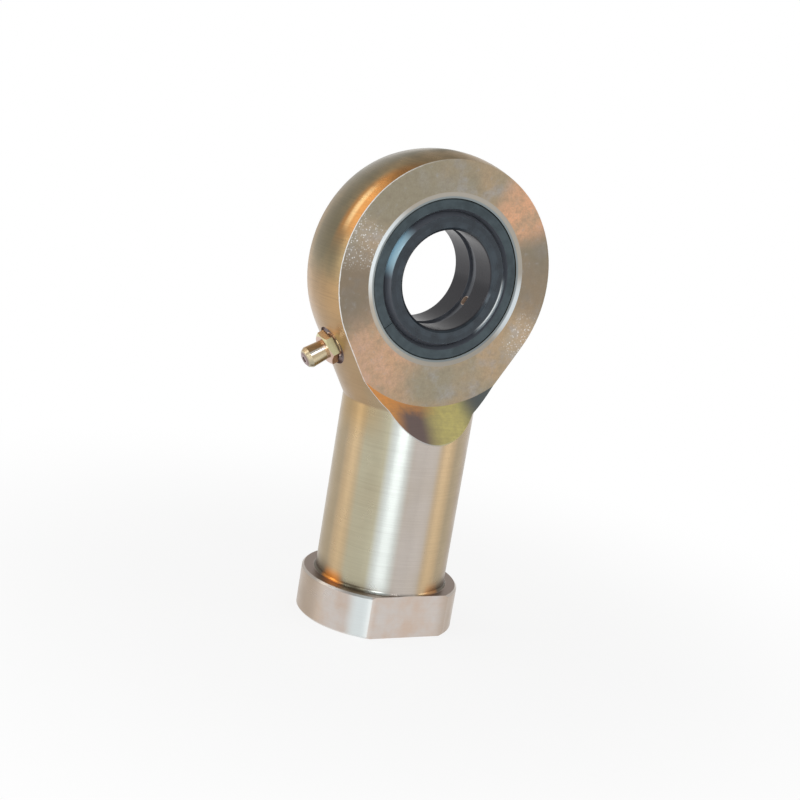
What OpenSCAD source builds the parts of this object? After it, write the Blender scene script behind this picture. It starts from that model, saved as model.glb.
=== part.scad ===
// Rod eye for a hydraulic cylinder. A ball shaped eye holds a spherical plain
// bearing, and a conical neck leads to a round shank with a female thread.
// The end face lies at z = 0, the shank runs up along Z and the pin along Y.
// The grease nipple points to -X, and all lengths are in millimetres.

/* [Eye] */
// Diameter of the ball shaped eye
eye_d = 74.4; // [70:0.2:84]
// Height of the eye's centre above the end face
eye_height = 108.5; // [104:0.5:130]
// How far the turned faces reach past the ball
face_overrun = 1.4; // [0.6:0.1:4]
// Angle between a turned face and its conical run-out
runout_angle = 46; // [40:1:60]

/* [Neck and shank] */
// Slope of the neck's side against the shank's axis
neck_angle = 30; // [24:0.5:36]
// Diameter of the shank
shank_d = 40.4; // [38:0.2:41]
// Fillet between shank and collar
root_r = 0.8; // [0.3:0.1:1.5]

/* [Collar] */
// Diameter of the collar
collar_d = 48.8; // [46.4:0.2:56]
// Height of the collar
collar_h = 13.2; // [8:0.2:20]
// Width across the two wrench flats
wrench_w = 41; // [41:0.5:45]
// Chamfer on the collar's two round edges
collar_edge = 0.6; // [0.2:0.1:1.5]

/* [Thread in the shank] */
// Nominal diameter of the thread
thread_d = 30; // [24:1:32]
// Pitch of the thread
thread_pitch = 2; // [1:0.5:3.5]
// Length of the full thread
thread_l = 51; // [36:1:54]
// Length of the core hole behind the thread
core_l = 5; // [2:0.5:7]
// Width of the countersink round the mouth
mouth_edge = 0.7; // [0.3:0.1:0.8]

/* [Bearing] */
// Diameter of the inner ring's ball surface, from which both rings are built
ball_d = 44; // [38:0.1:48]
// Wall of the inner ring at its middle, from the ball surface to the pin bore
inner_wall = 7; // [5:0.1:8.5]
// Wall of the outer ring at its middle, from the ball surface to its outside
outer_wall = 2.2; // [1.7:0.05:3.5]
// Clearance between the ball surface and the outer ring
ball_gap = 0.05; // [0.02:0.01:0.1]
// Width of the outer ring
outer_w = 20; // [17:0.5:21]
// Width of the inner ring
inner_w = 22; // [20:0.5:25]
// Depth of the outer ring below each face of the eye
ring_recess = 0.4; // [0.2:0.1:2]
// Width of the rolled bevel round the bearing seat
seat_bevel = 1.8; // [0.5:0.1:3]
// Chamfer on the outer ring's outside edges
ring_edge = 0.4; // [0.2:0.1:1]
// Width of the outer ring's flat face
ring_face = 2.7; // [1.5:0.1:3.4]
// Depth at which the bevel on the outer ring's inside ends
ring_bevel = 1.4; // [0.3:0.1:1.8]
// Width of the split in the outer ring
split_w = 0.2; // [0.1:0.05:0.5]
// Place of the split, as an angle about the pin
split_angle = 221; // [190:1:350]
// Chamfer on the pin bore's two edges
bore_edge = 0.8; // [0.3:0.1:1.6]
// Width of the grease grooves
groove_w = 3.6; // [3:0.1:5]
// Depth of the grease grooves
groove_depth = 0.7; // [0.3:0.1:0.9]
// Diameter of the grease holes in both rings
oil_hole_d = 2.6; // [1.5:0.1:3]
// Number of grease holes in each ring
oil_holes = 3; // [2:1:6]
// Place of the outer ring's first grease hole, as an angle about the pin
outer_hole_angle = 30; // [0:1:70]
// Place of the inner ring's first grease hole, as an angle about the pin
inner_hole_angle = -28; // [-60:1:60]

/* [Grease nipple] */
// Drop of the nipple's place on the neck below the eye's centre
nipple_drop = 23.7; // [22:0.1:28]
// Diameter of the spot face under the nipple
spot_d = 12; // [11:0.1:14]
// Depth of the spot face
spot_depth = 0.9; // [0.7:0.1:1.5]
// Diameter of the nipple's thread
plug_d = 8; // [6:0.5:9]
// Length of the nipple's thread
plug_l = 5.5; // [4:0.5:8]
// Gap between the spot face and the hexagon
stand_off = 1.1; // [0.5:0.1:2]
// Width across the hexagon's flats
hex_w = 9; // [8:0.5:10]
// Height of the hexagon
hex_h = 2.5; // [1.5:0.1:4]
// Turn of the hexagon about the nipple's axis
hex_turn = 18; // [0:1:59]
// Length of the nipple's head
head_l = 6.7; // [5:0.1:9]
// Largest diameter of the head
head_d = 6.5; // [6:0.1:7.5]
// Diameter of the head where it leaves the hexagon
head_root_d = 5.9; // [5:0.1:6]
// Diameter of the head's flat tip
tip_d = 3.5; // [2.8:0.1:4]
// Diameter of the grease bore
grease_bore_d = 3.2; // [2.9:0.1:3.4]
// Diameter of the opening in the tip
tip_hole_d = 1.7; // [1.4:0.1:2.1]
// Diameter of the check ball
check_ball_d = 2.5; // [2.3:0.1:2.7]
// Depth of the check ball's top below the tip
ball_depth = 0.25; // [0.15:0.05:0.6]
// Clearance between the check ball and its seat
seat_gap = 0.05; // [0.03:0.01:0.1]
// Outside diameter of the spring
spring_d = 2.4; // [2.2:0.1:2.6]
// Diameter of the spring's wire
spring_wire = 0.3; // [0.2:0.05:0.4]
// Number of open turns of the spring
spring_turns = 8; // [5:1:12]

/* [Hidden] */
$fn = 96;

// Overlap of a cutting shape past the surface that it cuts
spare = 1;

// Radii of what is turned about Z
eye_r = eye_d / 2;
shank_r = shank_d / 2;
collar_r = collar_d / 2;

// The neck touches the ball where the ball's own slope is the neck's
neck_r = eye_r * cos(neck_angle);
neck_top = eye_height - eye_r * sin(neck_angle);
neck_l = (neck_r - shank_r) / tan(neck_angle);
neck_foot = neck_top - neck_l;

// The two turned faces and their run-out
eye_t = outer_w + 2 * ring_recess;
face_r = eye_r + face_overrun;
runout_l = eye_r;
runout_h = runout_l * tan(runout_angle);

// Threaded hole, with the core hole's radius at the thread's crests
thread_r = thread_d / 2;
crest_share = 0.54;
core_r = thread_r - crest_share * thread_pitch;
mouth_angle = 60;
mouth_depth = mouth_edge / tan(mouth_angle);
drill_angle = 59;
drill_tip = core_r / tan(drill_angle);

// Bearing, from the pin bore to the outside of the outer ring
ball_r = ball_d / 2;
pin_r = ball_r - inner_wall;
race_r = ball_r + ball_gap;
ring_r = race_r + outer_wall;
ring_lip_r = ring_r - ring_edge - ring_face;
race_depth = outer_w / 2 - ring_bevel;
race_lip_r = sqrt(race_r * race_r - race_depth * race_depth);

// Grease nipple, measured outwards from the floor of its spot face
nipple_r = neck_r - (nipple_drop - eye_r * sin(neck_angle)) * tan(neck_angle);
hex_top = stand_off + hex_h;
tip_z = hex_top + head_l;
hex_corner_r = hex_w / 2 / cos(30);
crown_edge = 0.27;
crown_r = hex_w / 2 - crown_edge;
crown_slope = 30;
plug_r = plug_d / 2;
plug_edge = 0.6;
plug_groove = 0.4;
shoulder_l = 1.5;
round_l = 0.45;
tip_round = 0.9;
round_r = tip_d / 2 + tip_round;
bore_r = grease_bore_d / 2;
tip_hole_r = tip_hole_d / 2;
lip_r = 1;
lip_l = 0.6;

// Tapped hole, and the channel from its foot into the bearing seat.
// The port is the middle of the spot face's floor, seen from the eye's centre.
tap_l = plug_l + 2;
channel_d = 3;
port_x = nipple_r - spot_depth * cos(neck_angle);
port_z = nipple_drop - spot_depth * sin(neck_angle);
port_reach = port_x * cos(neck_angle) + port_z * sin(neck_angle);
port_off = port_x * port_x + port_z * port_z - port_reach * port_reach;
channel_l = port_reach - sqrt(ring_r * ring_r - port_off) - tap_l + spare;

// The check ball stands clear of a 45 degree seat
check_r = check_ball_d / 2;
check_z = tip_z - ball_depth - check_r;
seat_slope = 45;
seat_reach = (check_r + seat_gap) / sin(seat_slope);
seat_foot = check_z + seat_reach - bore_r;
seat_top = check_z + seat_reach - tip_hole_r;

// The spring runs from the lip in the thread to the check ball
wire_r = spring_wire / 2;
coil_r = spring_d / 2 - wire_r;
wire_gap = 0.05;
spring_foot = lip_l - plug_l + wire_r + wire_gap;
ball_contact = check_r + wire_r + wire_gap;
spring_top = check_z - sqrt(ball_contact * ball_contact - coil_r * coil_r);
closed_turns = 1;
closed_rise = spring_wire * 1.1;
coil_steps = 16;
wire_sides = 8;

// Axis of the pin, through the eye's centre
module along_pin() {
    translate([0, 0, eye_height])
        rotate([-90, 0, 0])
            children();
}

// The same on both faces of the eye
module both_faces() {
    along_pin()
        for (side = [0, 1])
            mirror([0, 0, side])
                children();
}

// Spokes about the pin, the first at the given angle from +X towards +Z
module spokes(first, count) {
    along_pin()
        for (step = [0 : count - 1])
            rotate([0, 0, -first - step * 360 / count])
                rotate([0, 90, 0])
                    children();
}

// Axis of the nipple, at right angles to the neck's side
module along_nipple() {
    translate([-nipple_r, 0, eye_height - nipple_drop])
        rotate([0, -90 - neck_angle, 0])
            translate([0, 0, -spot_depth])
                children();
}

// Shank and neck, turned about Z
module turned_shank() {
    cylinder(r = shank_r, h = neck_foot);
    translate([0, 0, neck_foot])
        cylinder(r1 = shank_r, r2 = neck_r, h = neck_l);
}

// Collar with its chamfers and the fillet above it
module turned_collar() {
    rotate_extrude() {
        polygon([
            [0, 0],
            [collar_r - collar_edge, 0],
            [collar_r, collar_edge],
            [collar_r, collar_h - collar_edge],
            [collar_r - collar_edge, collar_h],
            [0, collar_h]
        ]);
        translate([0, collar_h - spare])
            difference() {
                square([shank_r + root_r, root_r + spare]);
                translate([shank_r + root_r, root_r + spare])
                    circle(r = root_r);
            }
    }
}

// Collar between the two wrench flats
module collar() {
    intersection() {
        turned_collar();
        translate([-collar_d, -wrench_w / 2, -spare])
            cube([2 * collar_d, wrench_w, collar_h + root_r + 2 * spare]);
    }
}

// What is cut away on one face of the eye: a flat and its conical run-out
module face_cut() {
    rotate_extrude()
        polygon([
            [0, eye_t / 2],
            [face_r, eye_t / 2],
            [face_r + runout_l, eye_t / 2 + runout_h],
            [0, eye_t / 2 + runout_h]
        ]);
}

// Through bore for the bearing
module bearing_seat() {
    along_pin()
        cylinder(r = ring_r, h = eye_t + 2 * spare, center = true);
}

// Rolled bevel on one side of the bearing seat, from the ring to the face
module rolled_bevel() {
    slope = seat_bevel / ring_recess;
    translate([0, 0, outer_w / 2])
        cylinder(
            r1 = ring_r,
            r2 = ring_r + slope * (ring_recess + spare),
            h = ring_recess + spare
        );
}

// Threaded hole with its countersink, core hole and drill tip
module thread_hole() {
    translate([0, 0, -spare])
        cylinder(r = thread_r, h = thread_l + spare);
    translate([0, 0, thread_l - spare])
        cylinder(r = core_r, h = core_l + spare);
    translate([0, 0, thread_l + core_l])
        cylinder(r1 = core_r, r2 = 0, h = drill_tip);
    translate([0, 0, -spare])
        cylinder(
            r1 = thread_r + mouth_edge + spare * tan(mouth_angle),
            r2 = thread_r,
            h = mouth_depth + spare
        );
}

// Spot face, tapped hole and grease channel down to the bearing seat
module nipple_port() {
    along_nipple() {
        cylinder(d = spot_d, h = eye_r);
        translate([0, 0, -tap_l])
            cylinder(r = plug_r, h = tap_l + spare);
        translate([0, 0, -tap_l - channel_l])
            cylinder(d = channel_d, h = channel_l + spare);
    }
}

module rod_end_body() {
    color("#b7a184")
        difference() {
            union() {
                collar();
                turned_shank();
                translate([0, 0, eye_height])
                    sphere(r = eye_r);
            }
            both_faces()
                face_cut();
            bearing_seat();
            both_faces()
                rolled_bevel();
            thread_hole();
            nipple_port();
        }
}

// Half the outer ring's section, from the middle to one face
module outer_ring_section() {
    difference() {
        polygon([
            [pin_r, 0],
            [ring_r - groove_depth, 0],
            [ring_r - groove_depth, groove_w / 2],
            [ring_r, groove_w / 2],
            [ring_r, outer_w / 2 - ring_edge],
            [ring_r - ring_edge, outer_w / 2],
            [ring_lip_r, outer_w / 2],
            [race_lip_r, race_depth],
            [pin_r, race_depth]
        ]);
        circle(r = race_r);
    }
}

module bearing_outer_ring() {
    color("#3f474c")
        difference() {
            both_faces()
                rotate_extrude()
                    outer_ring_section();
            spokes(outer_hole_angle, oil_holes)
                translate([0, 0, pin_r])
                    cylinder(d = oil_hole_d, h = ring_r);
            spokes(split_angle, 1)
                translate([-outer_w, -split_w / 2, pin_r])
                    cube([2 * outer_w, split_w, ring_r]);
        }
}

module bearing_inner_ring() {
    face = inner_w / 2;
    color("#4a5156")
        difference() {
            along_pin()
                difference() {
                    intersection() {
                        sphere(r = ball_r);
                        cylinder(r = ball_r + spare, h = inner_w, center = true);
                    }
                    cylinder(r = pin_r, h = inner_w + 2 * spare, center = true);
                    cylinder(r = pin_r + groove_depth, h = groove_w, center = true);
                }
            both_faces()
                translate([0, 0, face - bore_edge])
                    cylinder(
                        r1 = pin_r,
                        r2 = pin_r + bore_edge + spare,
                        h = bore_edge + spare
                    );
            spokes(inner_hole_angle, oil_holes)
                translate([0, 0, pin_r - spare])
                    cylinder(d = oil_hole_d, h = inner_wall + 2 * spare);
        }
}

// Outside of the nipple, apart from its hexagon
module nipple_turning() {
    rotate_extrude()
        polygon([
            [0, -plug_l],
            [plug_r - plug_edge, -plug_l],
            [plug_r, plug_edge - plug_l],
            [plug_r, 0],
            [plug_r - plug_groove, 0],
            [plug_r - plug_groove, stand_off + hex_h / 2],
            [head_root_d / 2, stand_off + hex_h / 2],
            [head_root_d / 2, hex_top],
            [head_d / 2, tip_z - shoulder_l],
            [round_r, tip_z - round_l],
            [tip_d / 2, tip_z],
            [0, tip_z]
        ]);
}

// Hexagon with its corners turned off at the top
module nipple_hexagon() {
    intersection() {
        translate([0, 0, stand_off])
            rotate([0, 0, hex_turn])
                cylinder(r = hex_corner_r, h = hex_h, $fn = 6);
        translate([0, 0, stand_off])
            cylinder(
                r1 = crown_r + hex_h / tan(crown_slope),
                r2 = crown_r,
                h = hex_h
            );
    }
}

// Bore with the rolled lip at its foot and the ball's seat near the tip
module nipple_bore() {
    rotate_extrude()
        polygon([
            [0, -plug_l - spare],
            [lip_r, -plug_l - spare],
            [lip_r, lip_l - plug_l],
            [bore_r, lip_l - plug_l],
            [bore_r, seat_foot],
            [tip_hole_r, seat_top],
            [tip_hole_r, tip_z + spare],
            [0, tip_z + spare]
        ]);
}

module nipple_body() {
    color("#c9a860")
        along_nipple()
            difference() {
                union() {
                    nipple_turning();
                    nipple_hexagon();
                }
                nipple_bore();
            }
}

module nipple_ball() {
    color("#8d8f92")
        along_nipple()
            translate([0, 0, check_z])
                sphere(r = check_r);
}

// Height of the wire's middle after so many turns, with closed turns at both ends
all_turns = spring_turns + 2 * closed_turns;
spring_l = spring_top - spring_foot;
open_rise = (spring_l - 2 * closed_turns * closed_rise) / spring_turns;

function coil_z(turn) =
    turn < closed_turns
    ? turn * closed_rise
    : turn > all_turns - closed_turns
    ? spring_l - (all_turns - turn) * closed_rise
    : closed_turns * closed_rise + (turn - closed_turns) * open_rise;

// One point of the wire's skin
function coil_point(turn, side) =
    let (
        out = coil_r + wire_r * cos(side * 360 / wire_sides),
        up = coil_z(turn) + wire_r * sin(side * 360 / wire_sides)
    )
    [out * cos(turn * 360), out * sin(turn * 360), up];

module nipple_spring() {
    rings = all_turns * coil_steps;
    points = [
        for (ring = [0 : rings])
            for (side = [0 : wire_sides - 1])
                coil_point(ring / coil_steps, side)
    ];
    sides = [
        for (ring = [0 : rings - 1])
            for (side = [0 : wire_sides - 1])
                let (next = (side + 1) % wire_sides)
                [
                    ring * wire_sides + side,
                    ring * wire_sides + next,
                    (ring + 1) * wire_sides + next,
                    (ring + 1) * wire_sides + side
                ]
    ];
    foot_cap = [for (side = [wire_sides - 1 : -1 : 0]) side];
    top_cap = [for (side = [0 : wire_sides - 1]) rings * wire_sides + side];
    color("#9a9da0")
        along_nipple()
            translate([0, 0, spring_foot])
                polyhedron(points, concat([foot_cap], sides, [top_cap]));
}

rod_end_body();
bearing_outer_ring();
bearing_inner_ring();
nipple_body();
nipple_ball();
nipple_spring();
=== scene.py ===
import math

import bpy
from mathutils import Matrix, Vector


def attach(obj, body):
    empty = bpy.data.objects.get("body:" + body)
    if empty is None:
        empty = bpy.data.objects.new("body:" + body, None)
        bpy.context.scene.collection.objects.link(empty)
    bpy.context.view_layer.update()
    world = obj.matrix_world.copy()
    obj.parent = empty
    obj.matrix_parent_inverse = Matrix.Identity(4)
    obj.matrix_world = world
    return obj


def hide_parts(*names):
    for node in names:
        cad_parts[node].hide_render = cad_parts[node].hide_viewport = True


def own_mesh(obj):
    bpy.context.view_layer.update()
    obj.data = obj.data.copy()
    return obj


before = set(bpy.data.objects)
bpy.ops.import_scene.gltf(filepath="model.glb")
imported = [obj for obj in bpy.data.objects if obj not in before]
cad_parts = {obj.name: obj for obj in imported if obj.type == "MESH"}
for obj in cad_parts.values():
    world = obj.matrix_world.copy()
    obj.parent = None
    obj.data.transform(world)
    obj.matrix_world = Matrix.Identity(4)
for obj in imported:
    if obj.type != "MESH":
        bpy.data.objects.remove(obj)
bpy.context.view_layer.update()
mm = 0.001

# Places on the part, in millimetres and degrees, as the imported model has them
part = {
    "eyeHeight": 108.5,
    "eyeFrom": 60.0,  # only the shank and its hole lie lower
    "faceEdge": 35.72,
    "bevelRadius": 26.05,
    "bevelFrom": 8.0,  # from the middle plane
    "shankRadius": 20.2,
    "neckFoot": 69.09,
    "neckTop": 89.9,
    "neckAngle": 30,
    "runoutFrom": 40.0,
    "runoutTo": 92.0,
    "collarTop": 13.2,
    "flatCorner": 13.23,
    "flatDistance": 20.5,
    "threadRadius": 15.0,
    "nippleFloor": (-28.492, 0, 85.25),
    "nippleAxis": (-0.8660254, 0, -0.5),
    "spotRadius": 6.0,
}


class Wire:
    # An output socket that adds Math nodes when it is calculated with
    def __init__(self, maker, socket):
        self.maker = maker
        self.socket = socket

    def math(self, operation, *others):
        return self.maker.calculate(operation, self, *others)

    def __add__(self, other):
        return self.math("ADD", other)

    __radd__ = __add__

    def __mul__(self, other):
        return self.math("MULTIPLY", other)

    __rmul__ = __mul__

    def __sub__(self, other):
        return self.math("SUBTRACT", other)

    def __rsub__(self, other):
        return self.maker.calculate("SUBTRACT", other, self)

    def __truediv__(self, other):
        return self.math("DIVIDE", other)

    def __abs__(self):
        return self.math("ABSOLUTE")


class Maker:
    # Adds nodes and links to one tree, which it empties first
    def __init__(self, tree):
        self.tree = tree
        tree.nodes.clear()

    def node(self, kind, settings=(), sockets=()):
        made = self.tree.nodes.new(kind)
        for name, value in dict(settings).items():
            setattr(made, name, value)
        for key, value in dict(sockets).items():
            if isinstance(value, Wire):
                self.tree.links.new(value.socket, made.inputs[key])
            else:
                made.inputs[key].default_value = value
        return made

    def output(self, node, key):
        return Wire(self, node.outputs[key])

    def wire(self, kind, settings=(), sockets=(), key=0):
        return self.output(self.node(kind, settings, sockets), key)

    def calculate(self, operation, *values):
        return self.wire("ShaderNodeMath", {"operation": operation}, enumerate(values))

    def most(self, *values):
        # The largest of them
        found = values[0]
        for value in values[1:]:
            found = self.calculate("MAXIMUM", found, value)
        return found

    def vector(self, operation, first, second=(0, 0, 0)):
        givesNumber = operation in ("DOT_PRODUCT", "LENGTH")  # and not a vector
        sockets = {0: first, 1: second}
        return self.wire("ShaderNodeVectorMath", {"operation": operation}, sockets, int(givesNumber))

    def length(self, first, second):
        return (first * first + second * second).math("SQRT")

    def join(self, x, y, z):
        return self.wire("ShaderNodeCombineXYZ", (), {0: x, 1: y, 2: z})

    def step(self, value, low, high, atLow=0.0, atHigh=1.0):
        # A smooth change from atLow to atHigh as the value goes from low to high
        sockets = {0: value, 1: low, 2: high, 3: atLow, 4: atHigh}
        return self.wire("ShaderNodeMapRange", {"interpolation_type": "SMOOTHSTEP"}, sockets)

    def band(self, value, middle, halfWidth, soft):
        # 1 near the middle, with soft borders
        return self.step(abs(value - middle), halfWidth + soft, halfWidth)

    def lobe(self, first, second, towards, width):
        # 1 towards that angle, and 0 from so many degrees away on
        turn = math.radians(towards)
        share = (first * math.cos(turn) + second * math.sin(turn)) / self.length(first, second)
        return self.step(share, math.cos(math.radians(width)), 1.0)

    def mix(self, factor, first, second):
        settings = {"data_type": "RGBA", "blend_type": "MIX"}
        return self.wire("ShaderNodeMix", settings, {0: factor, 6: first, 7: second}, 2)

    def noise(self, vector, scale, detail=2.0, rough=0.5):
        sockets = {"Vector": vector, "Scale": scale, "Detail": detail, "Roughness": rough}
        return self.wire("ShaderNodeTexNoise", (), sockets)

    def bump(self, height, strength, distance):
        sockets = {"Strength": strength, "Distance": distance, "Height": height}
        return self.wire("ShaderNodeBump", (), sockets)

    def shader(self, sockets):
        return self.wire("ShaderNodeBsdfPrincipled", (), sockets)

    def finish(self, shader):
        self.node("ShaderNodeOutputMaterial", (), {"Surface": shader})


def paint(*rgb):
    # A screen colour of 0 to 255 as the linear colour that a socket takes
    shares = [value / 255 for value in rgb]
    linear = (s / 12.92 if s < 0.04045 else ((s + 0.055) / 1.055) ** 2.4 for s in shares)
    return (*linear, 1)


def newMaterial(name):
    material = bpy.data.materials.new(name)
    material.use_nodes = True
    return material, Maker(material.node_tree)


class Spot:
    # A point on a surface: its place in millimetres and the way that it faces
    def __init__(self, maker):
        self.maker = maker
        source = maker.node("ShaderNodeTexCoord")
        sockets = {0: maker.output(source, "Object"), "Scale": 1 / mm}
        self.inMm = maker.wire("ShaderNodeVectorMath", {"operation": "SCALE"}, sockets)
        self.x, self.y, self.z = self.split(self.inMm)
        self.nx, self.ny, self.nz = self.split(maker.output(source, "Normal"))

    def split(self, vector):
        shares = self.maker.node("ShaderNodeSeparateXYZ", (), {0: vector})
        return [self.maker.output(shares, axis) for axis in range(3)]

    def alongNipple(self):
        # The way from the floor of the nipple's seat, and its share along the nipple
        fromFloor = self.maker.vector("SUBTRACT", self.inMm, part["nippleFloor"])
        return fromFloor, self.maker.vector("DOT_PRODUCT", fromFloor, part["nippleAxis"])


def dress(node, material):
    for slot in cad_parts[node].material_slots:
        slot.material = material


# Camera at the photograph's viewpoint
print("camera")
viewpoint = {
    "place": (-245.17, -403.17, 171.08),
    "azimuth": 30.99,
    "elevation": 12.24,
    "roll": 9.48,
    "lens": 71.22,
}


def makeCamera(view):
    turn, tilt, roll = (math.radians(view[key]) for key in ("azimuth", "elevation", "roll"))
    ahead = Vector((math.sin(turn) * math.cos(tilt), math.cos(turn) * math.cos(tilt), -math.sin(tilt)))
    right = ahead.cross(Vector((0, 0, 1))).normalized()
    down = ahead.cross(right)
    rolledRight = right * math.cos(roll) - down * math.sin(roll)
    rolledDown = right * math.sin(roll) + down * math.cos(roll)
    data = bpy.data.cameras.new("camera")
    data.lens = view["lens"]
    data.sensor_width = 36
    data.clip_start = 0.01
    camera = bpy.data.objects.new("camera", data)
    bpy.context.scene.collection.objects.link(camera)
    turned = Matrix((rolledRight, -rolledDown, -ahead)).transposed().to_4x4()
    camera.matrix_world = Matrix.Translation(Vector(view["place"]) * mm) @ turned
    bpy.context.scene.camera = camera


makeCamera(viewpoint)

# White studio: a pale floor, a white surrounding and soft lamps
print("studio")
studio = {
    "floorRadius": 1.5,  # metres, as all lengths of the studio are
    "floorDrop": -0.0001,
    "floorColour": (0.86, 0.86, 0.86),
    "fadeFrom": 0.06,  # the floor's shadow fades between these distances
    "fadeTo": 0.22,
    "shadowShare": 0.18,
    "worldLevel": 0.60,  # light that falls on matt surfaces
    "roomLevel": 0.70,  # what metal mirrors at the sides, behind the part and overhead
    "behindLevel": 0.9,
    "ceilingLevel": 0.34,
    "lampDistance": 0.9,
    "lampAim": (0, 0, 0.08),
}

# Azimuth from the front of the eye, elevation, width and height, level and colour of each lamp
lamps = {
    "keyLamp": (-30, 8, (0.28, 0.7), 2.9, (0.97, 1.0, 1.0)),
    "leftLamp": (-115, 6, (0.20, 0.6), 1.6, (1.0, 0.93, 0.80)),
    "leftHighLamp": (-131, 36, (0.20, 0.28), 1.45, (1.0, 0.93, 0.82)),
    "leftTopLamp": (-142, 48, (0.18, 0.16), 1.1, (1.0, 0.93, 0.82)),
    "rightLamp": (57, 8, (0.22, 0.6), 1.8, (1.0, 0.93, 0.84)),
    "frontHighLamp": (4, 38, (0.12, 0.20), 3.8, (1, 1, 1)),
    "coolLamp": (-95, 34, (0.26, 0.26), 2.6, (0.84, 0.94, 1.0)),
    "coolFrontLamp": (-56, 16, (0.14, 0.24), 3.4, (0.88, 0.96, 1.0)),
}
white = (1, 1, 1, 1)


def raysThatSee(maker):
    # The first is 1 for the camera's own rays, and the second also for those off metal or through glass
    path = maker.node("ShaderNodeLightPath")
    seen = maker.output(path, "Is Camera Ray")
    mirrored = (maker.output(path, name) for name in ("Is Glossy Ray", "Is Transmission Ray"))
    return seen, maker.most(seen, *mirrored)


def makeWorld():
    world = bpy.data.worlds.new("studio")
    bpy.context.scene.world = world
    world.use_nodes = True
    maker = Maker(world.node_tree)
    seen, shown = raysThatSee(maker)
    away = maker.output(maker.node("ShaderNodeTexCoord"), "Generated")
    turn = math.radians(viewpoint["azimuth"])
    facing = maker.vector("DOT_PRODUCT", away, (math.sin(turn), math.cos(turn), 0))
    shade = maker.step(facing, 0.90, 0.99, studio["roomLevel"], studio["behindLevel"])
    upwards = maker.output(maker.node("ShaderNodeSeparateXYZ", (), {0: away}), 2)
    shade = maker.step(upwards, 0.35, 0.85, shade, studio["ceilingLevel"])
    sockets = {"Color": white, "Strength": maker.most(seen, shade)}
    backdrop = maker.wire("ShaderNodeBackground", (), sockets)
    lit = maker.wire("ShaderNodeBackground", (), {"Color": white, "Strength": studio["worldLevel"]})
    both = maker.wire("ShaderNodeMixShader", (), {0: shown, 1: lit, 2: backdrop})
    maker.node("ShaderNodeOutputWorld", (), {"Surface": both})


def makeFloor():
    bpy.ops.object.select_all(action="DESELECT")
    bpy.ops.mesh.primitive_circle_add(
        vertices=96, radius=studio["floorRadius"], fill_type="NGON", location=(0, 0, studio["floorDrop"]))
    floor = bpy.context.active_object
    floor.name = "floor"
    material, maker = newMaterial("pale_floor")
    away = maker.vector("LENGTH", maker.output(maker.node("ShaderNodeTexCoord"), "Object"))
    fade = maker.step(away, studio["fadeFrom"], studio["fadeTo"], 1 - studio["shadowShare"], 1.0)
    shown = raysThatSee(maker)[1]
    matt = maker.wire("ShaderNodeBsdfDiffuse", (), {"Color": (*studio["floorColour"], 1)})
    glow = maker.wire("ShaderNodeEmission", (), {"Color": white, "Strength": 1.0})
    maker.finish(maker.wire("ShaderNodeMixShader", (), {0: fade * shown, 1: matt, 2: glow}))
    floor.data.materials.append(material)


def addLamp(name, azimuth, elevation, size, level, colour):
    # The level is how bright the lamp's own surface looks
    turn, tilt = math.radians(azimuth), math.radians(elevation)
    aside = Vector((math.sin(turn) * math.cos(tilt), -math.cos(turn) * math.cos(tilt), math.sin(tilt)))
    data = bpy.data.lights.new(name, "AREA")
    data.shape = "RECTANGLE"
    data.size, data.size_y = size
    data.energy = level * math.pi * size[0] * size[1]
    data.color = colour
    lamp = bpy.data.objects.new(name, data)
    bpy.context.scene.collection.objects.link(lamp)
    lamp.location = Vector(studio["lampAim"]) + aside * studio["lampDistance"]
    lamp.rotation_euler = aside.to_track_quat("Z", "Y").to_euler()


makeWorld()
makeFloor()
for lampName, lampSettings in lamps.items():
    addLamp(lampName, *lampSettings)

bpy.context.scene.view_settings.view_transform = "Standard"

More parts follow.
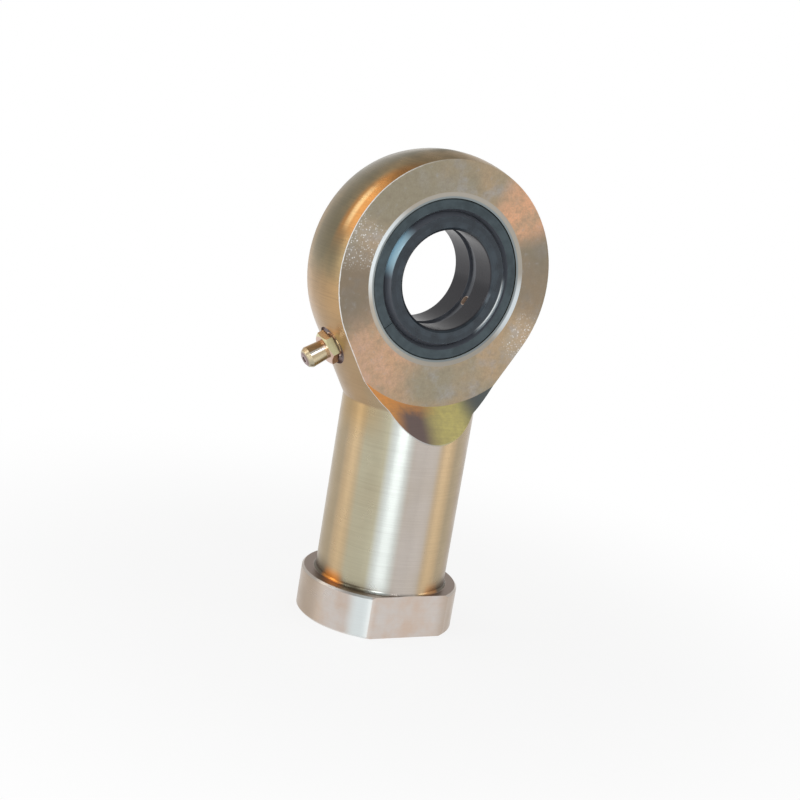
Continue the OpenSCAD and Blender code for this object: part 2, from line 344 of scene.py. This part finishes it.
# Plated steel of the body
print("body")
plating = {
    "tints": {
        "grey": (201, 192, 184),
        "highlight": (218, 223, 219),
        "olive": (191, 185, 160),
        "tan": (173, 155, 125),
        "neck": (154, 128, 104),
        "neckGold": (186, 150, 96),
        "streakHighlight": (202, 175, 136),
        "rim": (186, 158, 116),
        "rimDark": (136, 126, 100),
        "rimWarm": (190, 154, 112),
        "rimOrangeHighlight": (208, 147, 84),
        "rimHighlight": (252, 210, 150),
        "face": (186, 162, 132),
        "faceCopper": (236, 180, 142),
        "faceOlive": (160, 152, 132),
        "faceDark": (132, 121, 106),
        "faceBlue": (172, 172, 174),
        "runoutOrange": (250, 176, 100),
        "runoutDark": (132, 114, 110),
        "runoutOlive": (230, 217, 140),
        "runoutTeal": (104, 114, 114),
        "collar": (210, 203, 198),
        "collarTan": (207, 186, 170),
        "collarSide": (180, 162, 144),
        "collarCornerHighlight": (220, 226, 226),
        "collarTop": (156, 138, 126),
        "bevel": (172, 166, 156),
        "bevelHighlight": (232, 242, 248),
        "bevelInnerShade": (140, 148, 150),
        "footOrangeHighlight": (242, 152, 58),
        "turnMarkAndShade": (98, 88, 72),
        "seatShade": (132, 110, 108),
        "inside": (120, 104, 84),
        "edgeHighlight": (244, 244, 242),
    },
    # Direction and reach of each patch round the shank, whether plating tint, painted highlight or painted
    # shade, in degrees from the front towards +X
    "shank": {
        "olive": (-52, 36),
        "tanLeft": (-102, 38),
        "tanRight": (37, 40),
        "highlight": (-31, 13),
        "streakHighlightLeft": (-75, 13),
        "streakHighlightRight": (14, 12),
        "brownRight": (54, 22),
        "goldLeft": (-82, 40),
        "goldBack": (130, 80),
        "footShadeLeft": (-104, 30),
        "footShadeRight": (46, 24),
        "footHighlightLeft": (-76, 16),
        "footHighlightRight": (22, 12),
        "footClear": (-8, 44),
        "collarLeft": (-100, 36),
        "collarRight": (48, 24),
        "cornerFront": (-38, 14),
        "cornerBack": (142, 14),
    },
    # The same round the eye, in degrees from +X upwards
    "eye": {
        "rimWarm": (202, 28),
        "rimDarkSide": (166, 20),
        "rimDarkTop": (122, 36),
        "rimOrangeHighlight": (138, 38),
        "rimHighlight": (149, 15),
        "rimDarkEnd": (174, 15),
        "copperHigh": (44, 23),
        "copperLow": (230, 36),
        "oliveHigh": (122, 34),
        "darkLeft": (188, 30),
        "darkRight": (6, 32),
        "glintLeft": (164, 17),
        "glintRight": (332, 15),
        "runoutOrange": (244, 16),
        "runoutOlive": (281, 16),
        "runoutTeal": (302, 19),
        "runoutHighlight": (252, 26),
        "bevelLeft": (164, 38),
        "bevelRight": (344, 26),
        "faceEdgeHighlight": (176, 82),
        "runoutEdgeHighlight": (240, 42),
    },
    # Scale, detail and roughness of the plating's unevenness
    "cloud": (0.045, 3.0),
    "patch": (0.16, 4.0, 0.6),
    "mottle": (0.6, 4.0, 0.6),
    "speck": (1.9, 3.0),
    "flat": (0.985, 0.998),  # share of the normal from which a face counts as flat
    "rimBorder": (86.0, 106.0),  # heights between which neck turns to ball
    "goldRise": (57.0, 67.0),  # heights between which the left side turns golden
    "glintScale": 1.7,
    "rough": (0.27, 0.35),  # least and most
    "flatRough": 0.40,
    "anisotropy": (0.85, 0.25),  # amount and rotation
    "bump": (0.6, 0.00002),  # strength and depth in metres
}


def tint(name):
    return paint(*plating["tints"][name])


class BodySpot(Spot):
    # A point on the body, with the plating's unevenness and the regions that it is in
    def __init__(self, maker):
        super().__init__(maker)
        self.up = self.z - part["eyeHeight"]
        self.front = self.y * -1
        self.reach = maker.length(self.x, self.up)
        self.around = maker.length(self.x, self.y)
        self.sideways = abs(self.y)
        self.flatness = abs(self.ny)
        self.cloud, self.patch, self.mottle, self.speck = (
            maker.noise(self.inMm, *plating[name]) for name in ("cloud", "patch", "mottle", "speck"))
        alongTurn = maker.join(self.x * 0.05, self.y * 0.05, self.z * 2.4)
        self.turnMarks = maker.noise(alongTurn, 1.0, 5.0, 0.75)
        self.faceMarks = maker.noise(maker.join(self.reach * 3.0, 0.0, 0.0), 1.0, 4.0, 0.7)
        self.markEye()
        self.markShank()
        self.markSeat()

    def markEye(self):
        step, bevel, bevelFrom = self.maker.step, part["bevelRadius"], part["bevelFrom"]
        self.atEye = step(self.z, part["eyeFrom"], part["eyeFrom"] + 2.0)
        inside = step(self.reach, bevel + 0.15, bevel + 0.05) * step(self.flatness, 0.4, 0.45)
        self.onBevel = inside * step(self.sideways, bevelFrom, bevelFrom + 0.4) * self.atEye
        self.onFace = step(self.flatness, *plating["flat"]) * self.atEye * (1 - self.onBevel)
        sloping = step(self.flatness, 0.58, 0.62) * step(self.flatness, 0.80, 0.76)
        sloping = sloping * step(self.nz, 0.28, 0.32)
        above = step(self.z, part["runoutFrom"], part["runoutFrom"] + 2.0)
        self.onRunout = sloping * above * step(self.z, part["runoutTo"], part["runoutTo"] - 2.0)
        self.onRim = step(self.z + self.patch * 12.0, *plating["rimBorder"])

    def markShank(self):
        step, top, shank = self.maker.step, part["collarTop"], part["shankRadius"]
        # Outside the shank, and on the end face at the foot
        outside = self.maker.most(step(self.around, shank, shank + 0.2), step(self.z, 1.0, 0.8))
        self.onCollar = step(self.z, top + 0.06, top + 0.02) * outside
        level = self.maker.most(self.flatness, abs(self.nz))
        self.onFlat = step(level, *plating["flat"]) * (1 - self.atEye)
        inHole = step(self.around, part["threadRadius"] + 0.8, part["threadRadius"] + 0.6)
        self.hidden = inHole * step(self.z, part["eyeFrom"], part["eyeFrom"] - 2.0)

    def markSeat(self):
        step, spot = self.maker.step, part["spotRadius"]
        fromFloor, outwards = self.alongNipple()
        apart = self.maker.vector("LENGTH", fromFloor)
        fromAxis = self.maker.most(apart * apart - outwards * outwards, 0.0).math("SQRT")
        near = step(self.x, -14.0, -16.0) * step(outwards, -9.0, -8.0)
        self.inSeat = step(fromAxis, spot + 0.12, spot + 0.04) * near

    def shankLobe(self, *names):
        patches = (plating["shank"][name] for name in names)
        return self.maker.most(*(self.maker.lobe(self.front, self.x, *patch) for patch in patches))

    def eyeLobe(self, *names):
        patches = (plating["eye"][name] for name in names)
        return self.maker.most(*(self.maker.lobe(self.x, self.up, *patch) for patch in patches))


def shankColour(maker, spot):
    # Turned skin of shank and neck, with painted highlight streaks where the lamps mirror in it
    skin = maker.mix(spot.shankLobe("olive"), tint("grey"), tint("olive"))
    skin = maker.mix(spot.shankLobe("tanLeft", "tanRight"), skin, tint("tan"))
    skin = maker.mix(maker.step(spot.cloud, 0.35, 0.75) * 0.3, skin, tint("tan"))
    # Painted highlight: the key lamp's white streaks down the shank
    skin = maker.mix(spot.shankLobe("highlight"), skin, tint("highlight"))
    # Painted highlights: the side lamps' streaks, tinted warm like the plating
    skin = maker.mix(spot.shankLobe("streakHighlightLeft", "streakHighlightRight") * 0.8, skin, tint("streakHighlight"))
    skin = maker.mix(spot.shankLobe("brownRight") * 0.55, skin, tint("neck"))
    gold = spot.shankLobe("goldLeft") * maker.step(spot.z, *plating["goldRise"])
    skin = maker.mix(gold * 0.5, skin, tint("neckGold"))
    onNeck = maker.step(spot.z, part["neckFoot"] - 0.6, part["neckFoot"] + 0.4)
    skin = maker.mix(onNeck * 0.5, skin, tint("neck"))
    return maker.mix(onNeck * spot.shankLobe("goldBack") * 0.7, skin, tint("neckGold"))


def ballColour(maker, spot):
    # Turned skin of the ball round the eye, with a painted highlight in the plating's orange
    darkness = spot.patch * 0.6 + spot.cloud * 0.4 + maker.step(spot.sideways, 7.0, 0.0) * 0.3
    ball = maker.mix(maker.step(darkness, 0.35, 0.90), tint("rim"), tint("rimDark"))
    ball = maker.mix(spot.eyeLobe("rimWarm") * 0.8, ball, tint("rimWarm"))
    dark = spot.eyeLobe("rimDarkSide") * maker.step(spot.sideways, 9.0, 5.0) * 0.8
    ball = maker.mix(dark, ball, tint("rimDark"))
    dark = spot.eyeLobe("rimDarkTop") * maker.step(spot.y, -3.0, 4.0) * 0.9
    ball = maker.mix(dark, ball, tint("rimDark"))
    # Painted highlight: the orange stripe where the left lamps mirror in the ball, with a lighter painted
    # core
    onSide = maker.step(spot.x * spot.y, 100.0, 190.0)  # front left, and back right with it
    ball = maker.mix(onSide * spot.eyeLobe("rimOrangeHighlight"), ball, tint("rimOrangeHighlight"))
    core = onSide * maker.band(spot.sideways, 6.9, 0.3, 1.3) * spot.eyeLobe("rimHighlight")
    ball = maker.mix(core, ball, tint("rimHighlight"))
    return maker.mix(onSide * spot.eyeLobe("rimDarkEnd") * 0.5, ball, tint("rimDark"))


def footColour(maker, spot, skin):
    # Painted shade and a painted orange highlight just above the collar, where the collar's ledge and the
    # side lamps mirror in the shank
    top = part["collarTop"]
    shade = spot.shankLobe("footShadeLeft", "footShadeRight") * maker.step(spot.z, top + 7.0, top + 0.6)
    skin = maker.mix(shade * 0.7, skin, tint("turnMarkAndShade"))
    glow = maker.most(spot.shankLobe("footHighlightLeft"), spot.shankLobe("footHighlightRight") * 0.6)
    foot = maker.mix(glow, tint("turnMarkAndShade"), tint("footOrangeHighlight"))
    rise = glow * maker.step(spot.z, top + 4.5, top + 0.8)
    # Painted dark stripe at the foot, the collar's ledge mirrored in the shank
    paintedLine = maker.step(spot.z, top + 1.4, top + 0.8) * (1 - spot.shankLobe("footClear"))
    return maker.mix(maker.most(rise, paintedLine) * 0.85, skin, foot)


def glintShare(maker, spot):
    # Painted glints: small bright dots in the two places of the face that mirror the lamps
    sockets = {"Vector": spot.inMm, "Scale": plating["glintScale"]}
    cells = maker.node("ShaderNodeTexVoronoi", (), sockets)
    shade = maker.wire("ShaderNodeSeparateColor", (), {0: maker.output(cells, "Color")})
    dots = maker.step(maker.output(cells, "Distance"), 0.44, 0.20) * maker.step(shade, 0.20, 0.75)
    right = spot.eyeLobe("glintRight") * maker.step(spot.reach, 27.5, 30.0)
    places = maker.most(spot.eyeLobe("glintLeft"), right) * maker.step(spot.mottle, 0.30, 0.60)
    return places * (dots * 0.9 + 0.1)


def faceColour(maker, spot):
    face = maker.mix(maker.step(spot.cloud, 0.38, 0.62), tint("face"), tint("faceOlive"))
    face = maker.mix(maker.step(spot.patch, 0.45, 0.75) * 0.6, face, tint("faceBlue"))
    copper = maker.most(spot.eyeLobe("copperHigh"), spot.eyeLobe("copperLow") * 0.6)
    face = maker.mix(copper * maker.step(spot.patch, 0.10, 0.60) * 0.9, face, tint("faceCopper"))
    face = maker.mix(spot.eyeLobe("oliveHigh") * 0.7, face, tint("faceOlive"))
    dark = maker.most(spot.eyeLobe("darkLeft") * 0.8, spot.eyeLobe("darkRight") * 0.7)
    face = maker.mix(dark, face, tint("faceDark"))
    face = maker.mix(maker.step(spot.mottle, 0.45, 0.75) * 0.3, face, tint("faceDark"))
    face = maker.mix(maker.step(spot.mottle, 0.45, 0.20) * 0.4, face, tint("faceBlue"))
    face = maker.mix(maker.step(spot.speck, 0.30, 0.75) * 0.25, face, tint("faceDark"))
    return maker.mix(glintShare(maker, spot), face, tint("edgeHighlight"))


def runoutColour(maker, spot):
    # Cone where the turned faces end in neck and shank: iridescent plating mixed with painted reflections
    # of its surroundings
    runout = maker.mix(spot.eyeLobe("runoutOrange"), tint("runoutDark"), tint("runoutOrange"))
    runout = maker.mix(spot.eyeLobe("runoutOlive"), runout, tint("runoutOlive"))
    runout = maker.mix(spot.eyeLobe("runoutTeal"), runout, tint("runoutTeal"))
    runout = maker.mix(maker.step(spot.mottle, 0.3, 0.7) * 0.2, runout, tint("runoutDark"))
    # Painted orange highlight on part of the cone
    glow = spot.eyeLobe("runoutHighlight") * maker.step(spot.reach + spot.mottle * 3.0, 43.5, 40.0)
    return maker.mix(glow * 0.7, runout, tint("runoutOrange"))


def collarColour(maker, spot):
    collar = maker.mix(maker.step(spot.patch, 0.25, 0.80), tint("collar"), tint("collarTan"))
    collar = maker.mix(spot.shankLobe("collarLeft", "collarRight"), collar, tint("collarSide"))
    # Painted highlight on the round part beside the corners of the flats
    corner = spot.shankLobe("cornerFront", "cornerBack") * maker.step(abs(spot.x), 13.0, 13.5)
    collar = maker.mix(corner, collar, tint("collarCornerHighlight"))
    # Painted reflection: the top face darker, as it mirrors the dim overhead
    return maker.mix(maker.step(spot.nz, 0.9, 0.97), collar, tint("collarTop"))


def bevelColour(maker, spot):
    # Painted highlights where the bevel mirrors the lamps, and painted shade along its inner rim
    highlight = spot.eyeLobe("bevelLeft", "bevelRight") * 0.8
    bevel = maker.mix(highlight, tint("bevel"), tint("bevelHighlight"))
    inner = part["bevelRadius"] - 1.0
    return maker.mix(maker.step(spot.reach, inner, inner - 0.4), bevel, tint("bevelInnerShade"))


def edgeHighlightShare(maker, spot):
    # Painted highlights along edges, where a small chamfer would catch the lamps
    slope = math.tan(math.radians(part["neckAngle"]))
    neckWide = maker.most(spot.z - part["neckFoot"], 0.0) * slope + part["shankRadius"]
    neckSide = maker.most(neckWide * neckWide - spot.y * spot.y, 0.0).math("SQRT") - abs(spot.x)
    onBall = maker.step(spot.z, part["neckTop"] - 1.0, part["neckTop"])
    sockets = {0: onBall, 2: neckSide, 3: part["faceEdge"] - spot.reach}
    edgeGap = maker.wire("ShaderNodeMix", {"data_type": "FLOAT"}, sockets)
    faceLine = maker.step(edgeGap + spot.mottle * 0.5, 0.65, 0.45) * spot.eyeLobe("faceEdgeHighlight") * spot.onFace
    runoutGap = maker.step(neckWide - spot.around, 0.40, 0.20)
    runoutLine = runoutGap * spot.eyeLobe("runoutEdgeHighlight") * spot.onRunout
    atCorner = maker.band(spot.x * spot.y / part["flatCorner"], 21.0, 0.3, 3.0)
    nearFlat = maker.step(spot.sideways, part["flatDistance"] - 0.9, part["flatDistance"] - 0.3)
    cornerLine = atCorner * nearFlat * spot.onCollar * 0.3
    tilted = maker.step(abs(spot.nz), 0.3, 0.5) * maker.step(abs(spot.nz), 0.95, 0.85)
    return maker.most(faceLine, runoutLine, cornerLine, tilted * spot.onCollar * 0.3)


def paintBody():
    material, maker = newMaterial("yellow_plated_steel")
    spot = BodySpot(maker)
    skin = maker.mix(spot.onRim, shankColour(maker, spot), ballColour(maker, spot))
    skin = footColour(maker, spot, skin)
    skin = maker.mix(spot.onFace, skin, faceColour(maker, spot))
    skin = maker.mix(spot.onRunout, skin, runoutColour(maker, spot))
    skin = maker.mix(spot.onCollar, skin, collarColour(maker, spot))
    markShare = (1 - spot.onFace) * (spot.onRim * 0.10 - spot.onCollar * 0.07 + 0.12)
    # Turning marks, in the same dark colour as the painted shade at the foot
    skin = maker.mix(maker.step(spot.turnMarks, 0.35, 0.70) * markShare, skin, tint("turnMarkAndShade"))
    skin = maker.mix(spot.onBevel, skin, bevelColour(maker, spot))
    # Painted shade in the seat round the nipple's hexagon
    skin = maker.mix(spot.inSeat, skin, tint("seatShade"))
    skin = maker.mix(spot.hidden, skin, tint("inside"))
    # Painted highlights along the edges
    skin = maker.mix(edgeHighlightShare(maker, spot), skin, tint("edgeHighlight"))
    faceHeight = (spot.faceMarks * 1.4 + spot.mottle * 2.0) * spot.onFace
    bump = maker.bump(spot.turnMarks * (1 - spot.onFace) + faceHeight, *plating["bump"])
    rough = maker.step(spot.patch, 0.3, 0.7, *plating["rough"])
    turnedMetal = maker.shader({
        "Base Color": skin, "Metallic": 1.0, "Roughness": rough, "Normal": bump,
        "Anisotropic": plating["anisotropy"][0], "Anisotropic Rotation": plating["anisotropy"][1],
    })
    flatMetal = maker.shader({
        "Base Color": skin, "Metallic": 1.0 - spot.inSeat * 0.6 - spot.onRunout * 0.45,
        "Roughness": plating["flatRough"], "Normal": bump,
    })
    plain = maker.most(spot.onFace, spot.onRunout, spot.onFlat, spot.onBevel, spot.inSeat)
    maker.finish(maker.wire("ShaderNodeMixShader", (), {0: plain, 1: turnedMetal, 2: flatMetal}))
    return material


bodySteel = paintBody()
dress("rod_end_body", bodySteel)

# Ridge of the M30 thread inside the plain hole of the shank
print("thread")
thread = {
    "profile": [(15.03, -0.875), (15.03, 0.875), (13.92, 0.25), (13.92, -0.25)],
    "pitch": 2.0,
    "from": 0.42,
    "to": 50.9,
    "steps": 48,
    "smoothUnder": 25,
}


def cutAcross(height, upper):
    # The cut is closed with a face, and the part above or below it goes
    bpy.ops.mesh.select_all(action="SELECT")
    bpy.ops.mesh.bisect(
        plane_co=(0, 0, height * mm), plane_no=(0, 0, 1), use_fill=True,
        clear_inner=not upper, clear_outer=upper, threshold=0.0001 * mm)


def makeThread():
    bpy.ops.object.select_all(action="DESELECT")
    bpy.ops.mesh.primitive_plane_add(size=mm)
    ridge = bpy.context.active_object
    ridge.name = "thread_ridge"
    corners = (0, 1, 3, 2)  # the plane's corners in the order of its outline
    for index, (across, height) in zip(corners, thread["profile"]):
        ridge.data.vertices[index].co = (across * mm, 0, (height - thread["pitch"] / 2) * mm)
    screw = ridge.modifiers.new("screw", "SCREW")
    screw.screw_offset = thread["pitch"] * mm
    screw.iterations = math.ceil(thread["to"] / thread["pitch"]) + 2
    screw.steps = screw.render_steps = thread["steps"]
    screw.use_merge_vertices = False
    bpy.ops.object.modifier_apply(modifier="screw")
    bpy.ops.object.mode_set(mode="EDIT")
    cutAcross(thread["from"], False)
    cutAcross(thread["to"], True)
    bpy.ops.mesh.select_all(action="SELECT")
    bpy.ops.mesh.remove_doubles(threshold=0.01 * mm)
    bpy.ops.mesh.normals_make_consistent(inside=False)
    bpy.ops.object.mode_set(mode="OBJECT")
    bpy.ops.object.shade_smooth_by_angle(angle=math.radians(thread["smoothUnder"]))
    ridge.data.materials.clear()
    ridge.data.materials.append(bodySteel)
    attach(ridge, "eye_body")


makeThread()

# Blackened steel of the bearing rings
print("bearing")
bearing = {
    "rings": {
        "bearing_outer_ring": {
            "light": (64, 78, 84), "dark": (46, 59, 65), "highlight": (200, 222, 230), "rough": 0.30},
        "bearing_inner_ring": {
            "light": (56, 67, 76), "dark": (36, 44, 52), "highlight": (176, 206, 220), "rough": 0.26},
    },
    "ball": (100, 104, 112),
    "paintedLine": (244, 250, 252),
    "bore": (46, 45, 50),
    "groove": (84, 87, 94),
    "hole": (216, 190, 170),
    "leftHighlight": (158, 26),  # direction and reach, in degrees from +X upwards
    "rightHighlight": (338, 30),
    "boreRadius": 15.1,
    "grooveRadius": 15.9,
    "grooveHalf": 1.8,
    "shadeRadius": 18.1,
    "faceLineRadius": 18.85,
    "ballFrom": 19.2,
    "lipRadius": 20.45,
    "ballTo": 21.2,
    "holes": 3,
    "holeAngle": -28,
    "holeRadius": 1.4,
    "metallic": 0.45,
    "bump": (0.5, 0.00001),
    "coat": 0.3,
    "coatRough": 0.12,
}


def holeShare(maker, x, up, y, angle):
    # 1 in a grease hole that lies in that direction from the pin's axis
    aside = up * math.cos(angle) - x * math.sin(angle)
    outwards = x * math.cos(angle) + up * math.sin(angle)
    inside = maker.step(maker.length(aside, y), bearing["holeRadius"] + 0.2, bearing["holeRadius"])
    return inside * maker.step(outwards, 15.0, 15.6)


def paintRing(name, finish):
    material, maker = newMaterial(name)
    spot = Spot(maker)
    x, y, up = spot.x, spot.y, spot.z - part["eyeHeight"]
    reach = maker.length(x, up)
    marks = maker.noise(maker.join(reach * 2.5, y * 2.5, 0.0), 1.0, 4.0, 0.7)
    cloud = maker.noise(spot.inMm, 0.25, 4.0, 0.6)
    light, dark = paint(*finish["light"]), paint(*finish["dark"])
    skin = maker.mix(maker.step(cloud * 0.7 + marks * 0.3, 0.35, 0.65), dark, light)
    skin = maker.mix(maker.band(reach, bearing["shadeRadius"], 0.4, 0.5) * 0.6, skin, dark)

    # Curved wall between the two faces, and painted highlights where it and the rims would catch the lamps
    ballFrom, ballTo, lip = bearing["ballFrom"], bearing["ballTo"], bearing["lipRadius"]
    onBall = maker.step(reach, ballFrom - 0.3, ballFrom) * maker.step(reach, ballTo + 0.3, ballTo)
    onBall = maker.step(abs(spot.ny), 0.97, 0.90) * onBall
    left = maker.lobe(x, up, *bearing["leftHighlight"])
    right = maker.lobe(x, up, *bearing["rightHighlight"])
    skin = maker.mix(onBall, skin, paint(*bearing["ball"]))
    highlight = maker.most(onBall * left, maker.band(reach, lip, 0.15, 0.25) * right)
    skin = maker.mix(highlight, skin, paint(*finish["highlight"]))
    # Painted highlight stripes at the lip and at the inner ring's face rim
    faceLine = maker.band(reach, bearing["faceLineRadius"], 0.15, 0.2)
    paintedLine = maker.most(maker.band(reach, lip, 0.1, 0.2), faceLine) * right * 0.8
    skin = maker.mix(paintedLine, skin, paint(*bearing["paintedLine"]))

    # Bore, its grease groove and the grease holes
    inBore = maker.step(reach, bearing["boreRadius"] + 0.3, bearing["boreRadius"])
    skin = maker.mix(inBore, skin, paint(*bearing["bore"]))
    # The groove painted lighter than the bore: painted light against the shade that falls in it
    inGroove = maker.step(abs(y), bearing["grooveHalf"] + 0.3, bearing["grooveHalf"])
    inGroove = inGroove * maker.step(reach, bearing["grooveRadius"] + 0.1, bearing["grooveRadius"])
    skin = maker.mix(inGroove, skin, paint(*bearing["groove"]))
    # Painted glints: light brown on the walls of the grease holes
    inWall = maker.step(reach, 19.0, 18.0)
    for turn in range(bearing["holes"]):
        angle = math.radians(bearing["holeAngle"] + 360 / bearing["holes"] * turn)
        skin = maker.mix(holeShare(maker, x, up, y, angle) * inWall, skin, paint(*bearing["hole"]))

    maker.finish(maker.shader({
        "Base Color": skin, "Metallic": bearing["metallic"], "Roughness": finish["rough"],
        "Normal": maker.bump(marks, *bearing["bump"]),
        "Coat Weight": bearing["coat"] - inBore * 0.25, "Coat Roughness": bearing["coatRough"],
    }))
    return material


for ringName, finish in bearing["rings"].items():
    dress(ringName, paintRing(ringName + "_black", finish))

# Grease nipple
print("nipple")
nipple = {
    "gold": (216, 200, 166),
    "goldTop": (200, 160, 112),
    "goldHighlight": (252, 248, 238),
    "greyGreen": (178, 170, 146),
    "green": (216, 208, 166),
    "copper": (255, 220, 176),
    "pink": (206, 176, 160),
    "shade": (150, 128, 126),
    "highlightSide": (-0.268, -0.845, 0.464),  # the direction in which the head is lightest
    "hexagonEnd": (3.8, 3.6),  # where hexagon and head meet, up the nipple's axis
    "tipFace": (9.9, 10.2),
    "rough": 0.24,
    "bump": (0.06, 0.00001),
}


def paintNipple():
    material, maker = newMaterial("nipple_gold")
    spot = Spot(maker)
    nz, outwards = spot.nz, spot.alongNipple()[1]
    marks = maker.noise(maker.join(outwards * 3.0, 0.0, 0.0), 1.0, 3.0, 0.6)
    cloud = maker.noise(spot.inMm, 0.5, 3.0)
    # Colour by facing direction, partly painted reflection: a browner top and a darker grey-green
    # underside
    head = maker.mix(maker.step(nz, 0.0, 0.9), paint(*nipple["gold"]), paint(*nipple["goldTop"]))
    head = maker.mix(maker.step(nz + cloud * 0.3, 0.3, -0.3), head, paint(*nipple["greyGreen"]))
    # Painted highlight: the white streaks along the head
    towardsHighlight = maker.vector("DOT_PRODUCT", maker.join(spot.nx, spot.ny, nz), nipple["highlightSide"])
    head = maker.mix(maker.step(towardsHighlight, 0.970, 0.992), head, paint(*nipple["goldHighlight"]))
    # Hexagon facets coloured by facing direction, partly painted reflection
    hexagon = maker.mix(maker.step(nz, 0.5, 0.7), paint(*nipple["green"]), paint(*nipple["copper"]))
    hexagon = maker.mix(maker.step(nz, -0.2, -0.5), hexagon, paint(*nipple["pink"]))
    skin = maker.mix(maker.step(outwards, *nipple["hexagonEnd"]), head, hexagon)
    skin = maker.mix(maker.step(outwards, *nipple["tipFace"]), skin, paint(*nipple["shade"]))
    bump = maker.bump(marks, *nipple["bump"])
    sockets = {"Base Color": skin, "Metallic": 1.0, "Roughness": nipple["rough"], "Normal": bump}
    maker.finish(maker.shader(sockets))
    return material


dress("nipple_body", paintNipple())

# The spring's own copy of the mesh, merged and smoothed, stands in for the imported spring
print("spring")
spring = {
    "foot": (-0.02442, 0, 0.0876),
    "length": 0.0125,
    "travel": 0.0008,
    "tilt": 30,
    "tints": ((150, 152, 156), (176, 178, 182)),
    "rough": 0.25,
}
checkBall = {"tints": ((120, 108, 112), (150, 140, 146)), "rough": 0.15}


def paintWire(name, finish):
    material, maker = newMaterial(name)
    spot = Spot(maker)
    first, second = (paint(*rgb) for rgb in finish["tints"])
    skin = maker.mix(maker.step(maker.noise(spot.inMm, 2.5, 3.0), 0.35, 0.65), first, second)
    maker.finish(maker.shader({"Base Color": skin, "Metallic": 1.0, "Roughness": finish["rough"]}))
    return material


def makeSpring():
    coil = bpy.data.objects.new("spring_coil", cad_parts["nipple_spring"].data.copy())
    bpy.context.scene.collection.objects.link(coil)
    bpy.ops.object.select_all(action="DESELECT")
    bpy.context.view_layer.objects.active = coil
    coil.select_set(True)
    bpy.ops.object.mode_set(mode="EDIT")
    bpy.ops.mesh.select_all(action="SELECT")
    bpy.ops.mesh.remove_doubles(threshold=0.001 * mm)
    bpy.ops.mesh.normals_make_consistent(inside=False)
    bpy.ops.object.mode_set(mode="OBJECT")
    bpy.ops.object.shade_smooth()
    coil.data.materials.clear()
    coil.data.materials.append(paintWire("spring_wire", spring))
    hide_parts("nipple_spring")
    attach(coil, "eye_body")
    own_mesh(coil)


makeSpring()
dress("nipple_ball", paintWire("ball_steel", checkBall))
